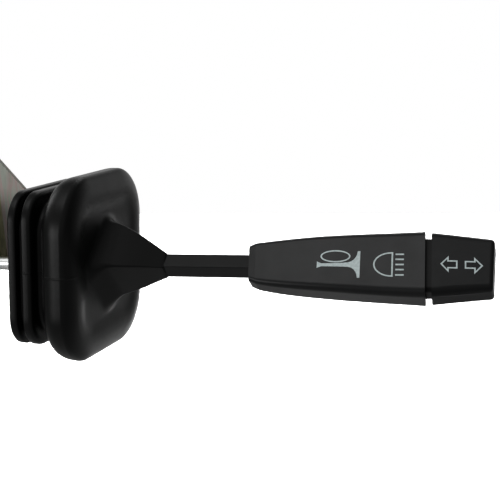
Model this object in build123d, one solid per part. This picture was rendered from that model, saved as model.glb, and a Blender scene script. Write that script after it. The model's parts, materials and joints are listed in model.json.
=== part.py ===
from build123d import *
import os
from math import cos, radians, sin, tan

# Combination stalk switch: turn signals, dip and main beam, flash, and a horn push at the tip.
# Frame: +X out along the stalk, +Z up, the driver on the -Y side. Millimetres.
# Origin: centre of the bracket's bolt pattern, on its mounting face, in line with the turn pivot.

# ---- clearances
RUN_GAP = 0.3      # between pieces that move past each other
PIN_FIT = 0.05     # radial, a pin in a hole that turns or slides on it
SEAT_FIT = 0.02    # radial, a pin or insert in the hole that holds it
CUT = 1.0          # a cutting form reaches this far past the faces that it cuts

# ---- mounting bracket
PLATE = 2.0            # sheet thickness
RECESS_DEPTH = 1.0     # pressed seat of the switch housing
SEAT_MARGIN = 1.5      # seat wider than the housing, at the left, top and bottom
SEAT_MARGIN_RIGHT = 1.0
SEAT_DRAFT = 0.6       # the pressing is wider behind than in front
STEP_BELOW_EAR = 2.0   # the slanting step of the seat ends this far below the ear
RECESS_EDGE_TOP = 43.1     # the slanting step of the seat, at its upper end
RECESS_EDGE_BOTTOM = 44.9  # and at its lower end
BOLT_SPACING_X = 52.0
BOLT_SPACING_Z = 56.0
BOLT_HOLE_R = 2.75
BOLT_MARGIN = 6.0      # sheet left round the bolt holes
BRACKET_MARGIN = 0.4   # sheet past the housing's right-hand side
EAR_TOP = 40.0         # highest point of the ear
EAR_BOTTOM = -1.5
EAR_SLOPE = 1.106      # fall of the ear's edge, mm down for each mm out
EAR_NOSE_Z = 16.6      # where the sloping edge meets the ear's upright end
EAR_TOP_LENGTH = 13.0
EAR_TO_PANEL = 3.4     # gap from the ear's end to the panel flange of the gaiter
CORNER_R = 3.0

# ---- stalk axis, pivots and swings
STALK_STANDOFF = 12.0  # stalk axis in front of the mounting face
DIP_PIVOT_X = 22.0     # dip pivot out from the turn pivot
TURN_SWING = 8.0       # degrees each way
DIP_SWING = 5.0        # degrees each way
PAWL_SWING = 12.0      # degrees each way
TURN_PIN_R = 2.5
PIN_HEAD_R = 4.0
PIN_HEAD = 1.2
DIP_PIN_R = 2.0
DIP_PIN_HEAD_R = 3.0
DIP_PIN_HEAD = 1.0     # also how far the pin's other end stands out

# ---- switch housing
HOUSE_LEFT = -18.5
HOUSE_RIGHT = 36.0
HOUSE_HALF_Z = 22.0
HOUSE_DEPTH = 22.2     # seat to outer face of the cover
WALL = 2.5
SPLIT_DEPTH = 15.2     # seat to the joint between base and cover
HOUSE_CORNER_R = 3.0
COVER_EDGE_R = 1.8
RIB = 0.8              # the two ribs on the cover stand out by this
RIB_WIDTH = 1.8
RIB_SPACING = 22.0
RIB_INSET = 10.5       # ribs end this far in from the housing's ends
PIN_BOSS = 1.2         # the boss round the turn pin stands out of the cover
PIN_CAP = 2.2          # cover left over the end of the turn pin
SCREW_INSET = 4.2      # screw centres in from the housing's faces
SCREW_R = 1.45
SCREW_BOSS_R = 3.4
SCREW_HEAD_R = 2.9
SCREW_HEAD = 2.2
DRIVE_LENGTH = 4.0     # cross slot of the screws
DRIVE_WIDTH = 0.8
DRIVE_DEPTH = 1.1

# ---- clip on the turn pin
CLIP = 0.6
CLIP_WIDTH = 2.2       # the clip stands out past the pin
CLIP_GROOVE = 0.5
CLIP_MOUTH = 3.2
CLIP_TO_COVER = 0.6

# ---- turn carrier
HUB_R = 6.5
HUB_GAP = 0.4          # end float on the turn pin, each end
CHEEK = 2.8
CARRIER_HALF_Y = 5.5
WEB_X = 8.6            # outer face of the web
LEG_HALF = 4.0         # the leg that holds the turn plunger
LEG_SHORT = 0.8        # the leg ends this far short of the centre of the plunger's nose
PEG_HALF = 1.5         # the peg that drives the turn contacts
PEG_HALF_Y = 1.8
PEG_ROOT = 2.0         # peg and leg start this deep in the hub

# ---- detents
TURN_DETENT_R = 13.3   # turn pivot to the centre of the plunger's round nose
DIP_DETENT_R = 10.2    # dip pivot to the centre of the plunger's round nose
PLUNGER_R = 2.0
TURN_PLUNGER_LENGTH = 6.0
DIP_PLUNGER_LENGTH = 5.4
TURN_BORE_END = 6.0    # turn pivot to the closed end of the plunger's bore
DIP_BORE_DEPTH = 6.2
SPRING_WIRE_R = 0.3
TURN_SPRING_TURNS = 3
DIP_SPRING_TURNS = 2
NOTCH_FACE = 1.0       # from the centre of the plunger's nose to the notched face
CAM_HALF_X = 7.0
CAM_HALF_Y = 4.5
DIP_CAM_HALF_Y = 4.5
DIP_CAM_HALF_Z = 4.0

# ---- turn contacts, under the housing's top wall
CONTACT_PLATE = 2.9
CONTACT_PLATE_HALF_X = 10.4
CONTACT_PLATE_HALF_Y = 5.8
GUIDE_RAIL = 2.5
CONTACT_SPACING = 5.2
RIVET_R = 1.0
RIVET_HEAD_R = 1.6
RIVET_HEAD = 0.4
CONTACT_GAP = 0.5      # left open between the bridge and the fixed contacts
BRIDGE = 0.4
BRIDGE_WIDTH = 1.4
BRIDGE_HALF_X = 4.6
BRIDGE_EDGE = 0.2      # bridge in from the sides of the carriage
CARRIAGE = 3.7
CARRIAGE_HALF_X = 7.0
CARRIAGE_HALF_Y = 4.0
CARRIAGE_CORNER_R = 1.0

# ---- dip contacts, under the lower cheek
DIP_PEG_R = 1.2
DIP_PEG_OFFSET = 6.5   # dip pivot to the peg that drives the dip slider
SLIDER_HALF_X = 3.0
SLIDER_HALF_Y = 3.8
SLIDER = 3.3
SLIDER_CORNER_R = 0.8
SLIDER_RAIL = 1.2
SLIDE_FREEDOM = 0.2    # slot longer than the peg, as the peg moves on an arc
DIP_PLATE = 1.2
DIP_RIVET_R = 0.8
DIP_RIVET_HEAD_R = 1.3
DIP_RIVET_HEAD = 0.8
DIP_RIVET_SPACING = 6.8
DIP_BRIDGE_WIDTH = 1.0
DIP_BRIDGE_HALF_Y = 3.4
DIP_BRIDGE_WALL = 0.5  # from the slider's slot to the bridge

# ---- arm block, shaft and bar
BLOCK_HALF = 5.9       # half height of the arm block
BLOCK_HALF_Y = 5.5
BLOCK_TAIL = 9.0       # dip pivot back to the tail
BLOCK_NOSE = 11.0      # dip pivot out to the nose
BLOCK_CORNER_R = 1.5
PIN_WALL = 1.5         # from the dip pin to the shaft's end
GRUB_R = 1.4
GRUB_FROM_END = 4.2    # grub screw out from the shaft's inner end
GRUB_SLOT = 0.6
SHAFT_R = 2.38
SHAFT_BORE_R = 1.4
LEAD_R = 1.1
BAR_SIDE = 5.7         # square bar across its flats
BAR_CORNER_R = 0.3
BAR_START = 76.0
BAR_IN_GRIP = 22.0
STALK_ROLL = 39.0      # degrees, the bar and the grip turn to face up at the driver

# ---- self-cancelling pawl
PAWL_PIVOT_X = -10.3
PAWL_PIN_R = 1.5
PAWL_HUB_R = 2.8
PAWL_HALF_Y = 2.4
PAWL_REACH = 20.7      # pawl pivot to the tip
PAWL_ROOT_HALF = 2.0
PAWL_TIP_HALF = 1.5
PAWL_TIP_LENGTH = 3.0
FORK_HALF_Z = 3.3
LEAF = 0.3             # thickness of the pawl's leaf springs
LEAF_HALF_Y = 1.6
LEAF_SEAT = 4.0        # length of the leaf on the fork
LEAF_REACH = 4.3       # and along the pawl

# ---- terminals
BLADE_WIDTH = 6.3
BLADE = 0.8
BLADE_OUT = 9.0
BLADE_IN = 0.8
BLADE_CHAMFER = 1.2
BLADE_HOLE_R = 0.85
BLADE_HOLE_IN = 3.6    # hole back from the tip
BLADE_STANDOFF = 2.0   # middle of the blades in front of the housing's back wall
BLADE_PITCH = 7.2
BLADE_ROW_X = 5.0      # middle of each row of blades
LOWER_BLADES = 4
UPPER_BLADES = 3

# ---- gaiter
PANEL_X = 65.4         # back face of the panel flange
GAITER_RISE = 1.2      # the loose gaiter sits a little high on the stalk
GAITER_LEAN = 3.3      # degrees, and leans back a little
GAITER_LEAN_X = 15.6   # the lean is about a point this far out from the flange
GAITER_WALL = 2.0
FLANGE = 2.9
GROOVE = 2.23
FLANGE_HALF = 26.8
FLANGE_CORNER_R = 10.3
FLANGE_2 = 3.6
FLANGE_2_EDGE_R = 1.4
GROOVE_DEPTH = 3.2
NECK_HALF = 22.5
NECK_IN_CUSHION = 7.2  # the neck runs this far into the cushion
CUSHION_BACK = 14.0
CUSHION_FRONT = 25.1
CUSHION_HALF = 32.0
CUSHION_CORNER_R = 18.6
CUSHION_EDGE_R = 5.5
DISH_HALF = 25.5       # the front face dips inside this square
DISH_SLOPE = 5.0       # width of the dish's sloping side
DISH_CORNER_R = 12.1
DISH_FLOOR_CORNER_R = 8.0
DISH_DEPTH = 1.2
PYRAMID_BASE = 22.6    # side of the pyramid at the bottom of the dish
PYRAMID_TIP = 6.5      # side at the tip
PYRAMID_TIP_X = 47.3
PYRAMID_ROLL = 45.0
PYRAMID_EDGE = 0.04    # radius of the ridges as a share of the side
FLARE = 2.0            # the pyramid spreads by this much on each side at its foot
FLARE_LENGTH = 3.0
TIP_GRIP = 12.0        # length of the solid tip that holds the bar
GAITER_TO_BAR = 0.1

# ---- grip
GRIP_START = 142.5
GRIP_LENGTH = 60.1
GRIP_NOSE = 2.3        # length of the bevel at the inner end
GRIP_NOSE_SECTION = (13.4, 6.6, 1.3)
GRIP_NOSE_SLANT = 7.0  # degrees, the inner end is cut back towards the lower edge
# share of the length after the bevel, width, thickness, edge radius
GRIP_SECTIONS = [
    (0.00, 15.5, 7.2, 1.6),
    (0.14, 17.4, 8.0, 1.8),
    (0.27, 19.0, 8.8, 2.0),
    (0.66, 22.1, 9.8, 2.4),
    (1.00, 23.8, 10.5, 2.6),
]

# ---- horn push
NECK_SECTION = (19.4, 7.0, 1.5)     # width, thickness, edge radius of the button guide
NECK_IN_GRIP = 14.7
NECK_OUT = 4.9
NOSE_SECTION = (15.0, 5.4, 1.2)
NOSE_LENGTH = 8.5
BUTTON_GAP = 2.1
BUTTON_LENGTH = 20.0
BUTTON_MOUTH_SECTION = (23.1, 10.1, 2.5)
BUTTON_END_SECTION = (18.4, 8.9, 2.1)
BUTTON_END_EDGE_R = 1.3
BUTTON_SLIDE_GAP = 0.25
HORN_TRAVEL = 1.8
HORN_CONTACT = 0.6     # thickness of the horn contacts
HORN_CONTACT_R = 1.7
HORN_SPRING_R = 2.35
HORN_SPRING_TURNS = 3
LEAD_INSET = 1.0       # the lead starts this far inside the shaft

# ---- worked out from the sizes above
AXIS_Y = -STALK_STANDOFF
SEAT_Y = RECESS_DEPTH - PLATE              # the housing's back face
SPLIT_Y = SEAT_Y - SPLIT_DEPTH
COVER_Y = SEAT_Y - HOUSE_DEPTH
CAVITY_BACK = SEAT_Y - WALL
CAVITY_FRONT = COVER_Y + WALL
CAVITY_LEFT = HOUSE_LEFT + WALL
CAVITY_RIGHT = HOUSE_RIGHT - WALL
CAVITY_Z = HOUSE_HALF_Z - WALL
BLADE_Y = CAVITY_BACK - BLADE_STANDOFF
CLIP_Y = CAVITY_FRONT + CLIP_TO_COVER
HUB_BACK = CAVITY_BACK - HUB_GAP
HUB_FRONT = CLIP_Y + CLIP + HUB_GAP
CHEEK_IN = BLOCK_HALF + RUN_GAP            # inner and outer faces of the cheeks
CHEEK_OUT = CHEEK_IN + CHEEK
LEG_END = TURN_DETENT_R - LEG_SHORT
TURN_NOSE_Z = -(TURN_DETENT_R + PLUNGER_R)
DIP_NOSE_X = DIP_PIVOT_X - DIP_DETENT_R - PLUNGER_R
NOTCH_R = PLUNGER_R + RUN_GAP
FORK_LEFT = PAWL_PIVOT_X - FORK_HALF_Z
FORK_SLOT = PAWL_HALF_Y + RUN_GAP
CONTACT_PLATE_Z = CAVITY_Z - CONTACT_PLATE
CARRIAGE_TOP = CONTACT_PLATE_Z - RIVET_HEAD - CONTACT_GAP - BRIDGE
CARRIAGE_LOW = CARRIAGE_TOP - CARRIAGE
DIP_PEG_X = DIP_PIVOT_X - DIP_PEG_OFFSET
SLIDER_LOW = DIP_PEG_X - SLIDER_HALF_X
SLIDER_HIGH = DIP_PEG_X + SLIDER_HALF_X
SLIDER_TOP = -CHEEK_OUT - RUN_GAP
SLIDER_BOTTOM = SLIDER_TOP - SLIDER
RAIL_BOTTOM = SLIDER_BOTTOM - RUN_GAP
SHAFT_START = DIP_PIVOT_X + DIP_PIN_R + PIN_WALL
GRUB_X = SHAFT_START + GRUB_FROM_END
GRIP_END = GRIP_START + GRIP_LENGTH
BAR_END = GRIP_START + BAR_IN_GRIP
NECK_START = GRIP_END - NECK_IN_GRIP
NECK_END = GRIP_END + NECK_OUT
NOSE_END = NECK_END + NOSE_LENGTH
SHAFT_END = NECK_START - RUN_GAP
BUTTON_START = GRIP_END + BUTTON_GAP
BUTTON_END = BUTTON_START + BUTTON_LENGTH
BUTTON_FLOOR = NOSE_END + HORN_TRAVEL + RUN_GAP + HORN_CONTACT
DISH_FLOOR = CUSHION_FRONT - DISH_DEPTH


# ---- helpers
def block(x0, x1, y0, y1, z0, z1):
    """A box between two places along each axis."""
    middle = Pos((x0 + x1) / 2, (y0 + y1) / 2, (z0 + z1) / 2)
    return middle * Box(abs(x1 - x0), abs(y1 - y0), abs(z1 - z0))


def rod_x(radius, x0, x1, y=AXIS_Y, z=0.0):
    return Pos((x0 + x1) / 2, y, z) * Rot(0, 90, 0) * Cylinder(radius, x1 - x0)


def rod_y(radius, y0, y1, x=0.0, z=0.0):
    return Pos(x, (y0 + y1) / 2, z) * Rot(90, 0, 0) * Cylinder(radius, abs(y1 - y0))


def rod_z(radius, z0, z1, x=0.0, y=AXIS_Y):
    return Pos(x, y, (z0 + z1) / 2) * Cylinder(radius, z1 - z0)


def outline_xz(points, y0, y1, radius=0.0):
    """A flat plate from an outline in X and Z, between two depths."""
    face = make_face(Plane.XZ * Polyline(*points, close=True))
    if radius:
        face = fillet(face.vertices(), radius)
    depth = abs(y1 - y0)
    return Pos(0, max(y0, y1), 0) * extrude(face, depth, dir=(0, -1, 0))


def across_stalk(x, roll=0.0):
    """Plane square to the stalk at x; its X is the width, its Y leans up from the driver."""
    turn = radians(roll)
    return Plane(origin=(x, AXIS_Y, 0), x_dir=(0, sin(turn), cos(turn)), z_dir=(1, 0, 0))


def section(x, width, thickness, radius):
    """Rounded section of the grip or the button, square to the stalk."""
    return across_stalk(x, STALK_ROLL) * RectangleRounded(width, thickness, radius)


def slanted(x, width, thickness, radius):
    """Section of the grip's inner end; its upper edge is at x and the lower one farther out."""
    back = width / 2 * tan(radians(GRIP_NOSE_SLANT))
    flat = across_stalk(x + back, STALK_ROLL) * Rot(0, GRIP_NOSE_SLANT, 0)
    return flat * RectangleRounded(width, thickness, radius)


def prism(x0, x1, width, thickness, radius):
    return extrude(section(x0, width, thickness, radius), x1 - x0)


def coil(radius, wire, length, turns, place):
    """A helical compression spring along its own Z, from 0 to its length."""
    pitch = (length - 2 * wire) / turns
    path = Helix(pitch, length - 2 * wire, radius)
    start = Plane(path @ 0, z_dir=path % 0)
    spring = sweep(start * Circle(wire), path=path)
    return place * Pos(0, 0, wire) * spring


# ---- bracket
def screw_places():
    xs = (HOUSE_LEFT + SCREW_INSET, HOUSE_RIGHT - SCREW_INSET)
    zs = (-HOUSE_HALF_Z + SCREW_INSET, HOUSE_HALF_Z - SCREW_INSET)
    return [(x, z) for x in xs for z in zs]


def bracket_outline():
    right = HOUSE_RIGHT + BRACKET_MARGIN
    left = -BOLT_SPACING_X / 2 - BOLT_MARGIN
    bottom = -BOLT_SPACING_Z / 2 - BOLT_MARGIN
    shoulder = BOLT_SPACING_Z / 2 + BOLT_MARGIN
    ear_end = PANEL_X - EAR_TO_PANEL
    ear_top_x = ear_end - (EAR_TOP - EAR_NOSE_Z) / EAR_SLOPE
    return [
        (left, bottom), (right, bottom), (right, EAR_BOTTOM), (ear_end, EAR_BOTTOM),
        (ear_end, EAR_NOSE_Z), (ear_top_x, EAR_TOP), (ear_top_x - EAR_TOP_LENGTH, EAR_TOP),
        (ear_top_x - EAR_TOP_LENGTH - (EAR_TOP - shoulder), shoulder), (left, shoulder),
    ]


def seat_outline(grow=0.0):
    """Pressed seat; its right-hand step slants down to the ear's lower edge."""
    left = HOUSE_LEFT - SEAT_MARGIN - grow
    right = HOUSE_RIGHT + SEAT_MARGIN_RIGHT + grow
    top = HOUSE_HALF_Z + SEAT_MARGIN + grow
    below = EAR_BOTTOM - STEP_BELOW_EAR
    return [
        (left, -top), (right, -top), (right, below), (RECESS_EDGE_BOTTOM + grow, below),
        (RECESS_EDGE_TOP + grow, top), (left, top),
    ]


def make_bracket():
    plate = outline_xz(bracket_outline(), 0, -PLATE, CORNER_R)
    keep = outline_xz(bracket_outline(), RECESS_DEPTH, -PLATE, CORNER_R)
    plate = plate + (outline_xz(seat_outline(SEAT_DRAFT), RECESS_DEPTH, -PLATE / 2) & keep)
    plate = plate - outline_xz(seat_outline(), SEAT_Y, -PLATE - CUT)
    for x in (-BOLT_SPACING_X / 2, BOLT_SPACING_X / 2):
        for z in (-BOLT_SPACING_Z / 2, BOLT_SPACING_Z / 2):
            plate = plate - rod_y(BOLT_HOLE_R, RECESS_DEPTH + CUT, -PLATE - CUT, x, z)
    for x, z in screw_places():
        plate = plate - rod_y(SCREW_R + PIN_FIT, RECESS_DEPTH + CUT, -PLATE - CUT, x, z)
    return plate - rod_y(TURN_PIN_R + SEAT_FIT, RECESS_DEPTH + CUT, -PLATE - CUT)


# ---- housing
def housing_shell(y0, y1):
    """The outside of the housing between two depths."""
    width = HOUSE_RIGHT - HOUSE_LEFT
    face = Plane.XZ * Pos((HOUSE_LEFT + HOUSE_RIGHT) / 2, 0) * RectangleRounded(
        width, 2 * HOUSE_HALF_Z, HOUSE_CORNER_R)
    return Pos(0, y0, 0) * extrude(face, y0 - y1)


def stalk_slot():
    """Window in the right-hand wall for the swing of the shaft."""
    reach_z = HOUSE_RIGHT * tan(radians(TURN_SWING)) + SHAFT_R / cos(radians(TURN_SWING))
    reach_y = (HOUSE_RIGHT - DIP_PIVOT_X) * tan(radians(DIP_SWING)) + SHAFT_R
    half_z = reach_z + 2 * RUN_GAP
    half_y = reach_y + 2 * RUN_GAP
    return block(CAVITY_RIGHT - CUT, HOUSE_RIGHT + CUT, AXIS_Y - half_y, AXIS_Y + half_y,
                 -half_z, half_z)


def pawl_slot():
    """Window in the left-hand wall for the pawl."""
    reach = (PAWL_PIVOT_X - HOUSE_LEFT) * tan(radians(PAWL_SWING)) + PAWL_ROOT_HALF
    reach += -HOUSE_LEFT * tan(radians(TURN_SWING)) + 2 * RUN_GAP
    return block(HOUSE_LEFT - CUT, CAVITY_LEFT + CUT, AXIS_Y - FORK_SLOT, AXIS_Y + FORK_SLOT,
                 -reach, reach)


def blade_places(count):
    first = BLADE_ROW_X - BLADE_PITCH * (count - 1) / 2
    return [first + BLADE_PITCH * i for i in range(count)]


def blade_slots(count, side):
    """Slots in the top or bottom wall that hold a row of blades."""
    half = BLADE_WIDTH / 2 + SEAT_FIT
    thick = BLADE / 2 + SEAT_FIT
    inside = side * (CAVITY_Z - CUT)
    outside = side * (HOUSE_HALF_Z + CUT)
    return [block(x - half, x + half, BLADE_Y - thick, BLADE_Y + thick, inside, outside)
            for x in blade_places(count)]


def make_blades(count, side):
    """Push-on terminal blades with chamfered tips and the usual locking hole."""
    tip = HOUSE_HALF_Z + BLADE_OUT
    root = CAVITY_Z - BLADE_IN
    half = BLADE_WIDTH / 2
    blades = []
    for x in blade_places(count):
        points = [(x - half, side * root), (x + half, side * root),
                  (x + half, side * (tip - BLADE_CHAMFER)), (x + half - BLADE_CHAMFER, side * tip),
                  (x - half + BLADE_CHAMFER, side * tip), (x - half, side * (tip - BLADE_CHAMFER))]
        blade = outline_xz(points, BLADE_Y + BLADE / 2, BLADE_Y - BLADE / 2)
        hole = rod_y(BLADE_HOLE_R, BLADE_Y + BLADE, BLADE_Y - BLADE, x, side * (tip - BLADE_HOLE_IN))
        blades.append(blade - hole)
    return Compound(children=blades)


def make_housing_base():
    base = housing_shell(SEAT_Y, SPLIT_Y)
    base = base - block(CAVITY_LEFT, CAVITY_RIGHT, CAVITY_BACK, SPLIT_Y - CUT, -CAVITY_Z, CAVITY_Z)
    for x, z in screw_places():
        base = base + rod_y(SCREW_BOSS_R, SEAT_Y - WALL / 2, SPLIT_Y, x, z)
    for x, z in screw_places():
        base = base - rod_y(SCREW_R + 2 * PIN_FIT, SEAT_Y + CUT, SPLIT_Y - CUT, x, z)
    base = base - rod_y(TURN_PIN_R + SEAT_FIT, SEAT_Y + CUT, CAVITY_BACK - CUT)
    base = base - stalk_slot() - pawl_slot()
    for slot in blade_slots(LOWER_BLADES, -1) + blade_slots(UPPER_BLADES, 1):
        base = base - slot
    return base


def make_housing_cover():
    cover = housing_shell(SPLIT_Y, COVER_Y)
    cover = fillet(cover.faces().sort_by(Axis.Y)[0].edges(), COVER_EDGE_R)
    cover = cover - block(CAVITY_LEFT, CAVITY_RIGHT, SPLIT_Y + CUT, CAVITY_FRONT, -CAVITY_Z, CAVITY_Z)
    inside_wall = COVER_Y + WALL / 2
    for x, z in screw_places():
        cover = cover + rod_y(SCREW_BOSS_R, SPLIT_Y, inside_wall, x, z)
    cover = cover + rod_y(HUB_R, inside_wall, COVER_Y - PIN_BOSS)
    for z in (-RIB_SPACING / 2, RIB_SPACING / 2):
        cover = cover + block(HOUSE_LEFT + RIB_INSET, HOUSE_RIGHT - RIB_INSET, COVER_Y - RIB,
                              inside_wall, z - RIB_WIDTH / 2, z + RIB_WIDTH / 2)
    for x, z in screw_places():
        cover = cover - rod_y(SCREW_R + 2 * PIN_FIT, SPLIT_Y + CUT, COVER_Y - CUT, x, z)
        cover = cover - rod_y(SCREW_HEAD_R + PIN_FIT, COVER_Y + SCREW_HEAD, COVER_Y - CUT, x, z)
    return cover - rod_y(TURN_PIN_R + PIN_FIT, SPLIT_Y, COVER_Y - PIN_BOSS + PIN_CAP)


def make_screws():
    screws = []
    half_long = DRIVE_LENGTH / 2
    half_wide = DRIVE_WIDTH / 2
    for x, z in screw_places():
        shank = rod_y(SCREW_R, RECESS_DEPTH, COVER_Y + SCREW_HEAD, x, z)
        head = rod_y(SCREW_HEAD_R, COVER_Y + SCREW_HEAD, COVER_Y, x, z)
        slot = block(x - half_long, x + half_long, COVER_Y + DRIVE_DEPTH, COVER_Y - CUT,
                     z - half_wide, z + half_wide)
        cross = block(x - half_wide, x + half_wide, COVER_Y + DRIVE_DEPTH, COVER_Y - CUT,
                      z - half_long, z + half_long)
        screws.append(shank + head - slot - cross)
    return Compound(children=screws)


def make_turn_pin():
    end = COVER_Y - PIN_BOSS + PIN_CAP + RUN_GAP
    pin = rod_y(TURN_PIN_R, RECESS_DEPTH, end)
    pin = pin + rod_y(PIN_HEAD_R, RECESS_DEPTH + PIN_HEAD, RECESS_DEPTH)
    ring = rod_y(TURN_PIN_R + CUT, CLIP_Y + CLIP + PIN_FIT, CLIP_Y - PIN_FIT)
    core = rod_y(TURN_PIN_R - CLIP_GROOVE, CLIP_Y + CLIP + CUT, CLIP_Y - CUT)
    return pin - (ring - core)


def make_turn_clip():
    clip = rod_y(TURN_PIN_R + CLIP_WIDTH, CLIP_Y + CLIP, CLIP_Y)
    clip = clip - rod_y(TURN_PIN_R - CLIP_GROOVE + PIN_FIT, CLIP_Y + CLIP + CUT, CLIP_Y - CUT)
    return clip - block(-CLIP_MOUTH / 2, CLIP_MOUTH / 2, CLIP_Y + CLIP + CUT, CLIP_Y - CUT,
                        0, TURN_PIN_R + CLIP_WIDTH + CUT)


# ---- turn carrier
def carrier_yoke():
    """Hub on the turn pin, web and the two cheeks that hold the dip pin."""
    near = AXIS_Y - CARRIER_HALF_Y
    far = AXIS_Y + CARRIER_HALF_Y
    yoke = rod_y(HUB_R, HUB_BACK, HUB_FRONT)
    yoke = yoke + block(0, WEB_X, near, far, -CHEEK_OUT, CHEEK_OUT)
    for low, high in ((CHEEK_IN, CHEEK_OUT), (-CHEEK_OUT, -CHEEK_IN)):
        yoke = yoke + block(WEB_X / 2, DIP_PIVOT_X, near, far, low, high)
        yoke = yoke + rod_z(CARRIER_HALF_Y, low, high, DIP_PIVOT_X)
    return yoke


def carrier_arms():
    """Leg of the turn plunger and peg of the turn contacts."""
    leg = block(-LEG_HALF, LEG_HALF, AXIS_Y - LEG_HALF, AXIS_Y + LEG_HALF,
                -LEG_END, PEG_ROOT - HUB_R)
    peg = block(-PEG_HALF, PEG_HALF, AXIS_Y - PEG_HALF_Y, AXIS_Y + PEG_HALF_Y,
                HUB_R - PEG_ROOT, CARRIAGE_TOP - RUN_GAP)
    return leg + peg


def pawl_fork():
    """Two lugs on the hub that carry the pawl between them."""
    half_y = FORK_SLOT + CHEEK
    fork = block(FORK_LEFT, 0, AXIS_Y - half_y, AXIS_Y + half_y, -FORK_HALF_Z, FORK_HALF_Z)
    fork = fork - rod_y(HUB_R - RUN_GAP, CUT, COVER_Y)
    pocket = rod_y(PAWL_HUB_R + RUN_GAP, AXIS_Y + FORK_SLOT, AXIS_Y - FORK_SLOT, PAWL_PIVOT_X)
    mouth = block(FORK_LEFT - CUT, PAWL_PIVOT_X, AXIS_Y - FORK_SLOT, AXIS_Y + FORK_SLOT,
                  -HUB_R, HUB_R)
    return fork - pocket - mouth


def dip_rails():
    """Two rails under the lower cheek, one each side of the dip slider."""
    rails = Part()
    for x in (SLIDER_LOW - RUN_GAP - SLIDER_RAIL, SLIDER_HIGH + RUN_GAP):
        rails = rails + block(x, x + SLIDER_RAIL, AXIS_Y - CARRIER_HALF_Y,
                              AXIS_Y + CARRIER_HALF_Y, RAIL_BOTTOM, -CHEEK_OUT)
    return rails


def dip_peg_window():
    """Window in the lower cheek for the swing of the arm's peg."""
    half_x = DIP_PEG_R + RUN_GAP + SLIDE_FREEDOM
    half_y = DIP_PEG_OFFSET * sin(radians(DIP_SWING)) + DIP_PEG_R + RUN_GAP
    return block(DIP_PEG_X - half_x, DIP_PEG_X + half_x, AXIS_Y - half_y, AXIS_Y + half_y,
                 -CHEEK_OUT - CUT, CUT - CHEEK_IN)


def make_turn_carrier():
    carrier = carrier_yoke() + carrier_arms() + pawl_fork() + dip_rails()
    carrier = carrier - rod_y(TURN_PIN_R + PIN_FIT, HUB_BACK + CUT, HUB_FRONT - CUT)
    carrier = carrier - rod_y(PAWL_PIN_R + SEAT_FIT, HUB_BACK, HUB_FRONT, PAWL_PIVOT_X)
    carrier = carrier - rod_z(DIP_PIN_R + SEAT_FIT, -CHEEK_OUT - CUT, CHEEK_OUT + CUT, DIP_PIVOT_X)
    carrier = carrier - rod_z(PLUNGER_R + PIN_FIT, -LEG_END - CUT, -TURN_BORE_END)
    return carrier - dip_peg_window()


# ---- detents
def plunger(length):
    """Round-nosed detent plunger, its nose at 0 and its body up its own Z."""
    body = Pos(0, 0, (PLUNGER_R + length) / 2) * Cylinder(PLUNGER_R, length - PLUNGER_R)
    return body + Pos(0, 0, PLUNGER_R) * Sphere(PLUNGER_R)


def detent_coil(length, turns, place):
    return coil(PLUNGER_R - 2 * SPRING_WIRE_R, SPRING_WIRE_R, length, turns, place)


def make_turn_plunger():
    return Pos(0, AXIS_Y, TURN_NOSE_Z) * plunger(TURN_PLUNGER_LENGTH)


def make_turn_spring():
    low = TURN_NOSE_Z + TURN_PLUNGER_LENGTH
    return detent_coil(-TURN_BORE_END - low, TURN_SPRING_TURNS, Pos(0, AXIS_Y, low))


def make_turn_cam():
    """Detent cam on the housing floor: three notches for left, off and right."""
    near = AXIS_Y - CAM_HALF_Y
    far = AXIS_Y + CAM_HALF_Y
    cam = block(-CAM_HALF_X, CAM_HALF_X, near, far, -CAVITY_Z, -TURN_DETENT_R - NOTCH_FACE)
    for angle in (-TURN_SWING, 0, TURN_SWING):
        x = TURN_DETENT_R * sin(radians(angle))
        z = -TURN_DETENT_R * cos(radians(angle))
        cam = cam - rod_y(NOTCH_R, far + CUT, near - CUT, x, z)
    return cam


def make_dip_plunger():
    return Pos(DIP_NOSE_X, AXIS_Y, 0) * Rot(0, 90, 0) * plunger(DIP_PLUNGER_LENGTH)


def make_dip_spring():
    start = DIP_NOSE_X + DIP_PLUNGER_LENGTH
    end = DIP_PIVOT_X - BLOCK_TAIL + DIP_BORE_DEPTH
    return detent_coil(end - start, DIP_SPRING_TURNS, Pos(start, AXIS_Y, 0) * Rot(0, 90, 0))


def make_dip_detent_plate():
    """Detent plate on the carrier's web: three notches for dip, main beam and flash."""
    face = DIP_PIVOT_X - DIP_DETENT_R - NOTCH_FACE
    plate = block(WEB_X, face, AXIS_Y - DIP_CAM_HALF_Y, AXIS_Y + DIP_CAM_HALF_Y,
                  -DIP_CAM_HALF_Z, DIP_CAM_HALF_Z)
    for angle in (-DIP_SWING, 0, DIP_SWING):
        x = DIP_PIVOT_X - DIP_DETENT_R * cos(radians(angle))
        y = AXIS_Y + DIP_DETENT_R * sin(radians(angle))
        plate = plate - rod_z(NOTCH_R, -DIP_CAM_HALF_Z - CUT, DIP_CAM_HALF_Z + CUT, x, y)
    return plate


# ---- turn contacts
def contact_places():
    return (-CONTACT_SPACING, 0.0, CONTACT_SPACING)


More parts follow.
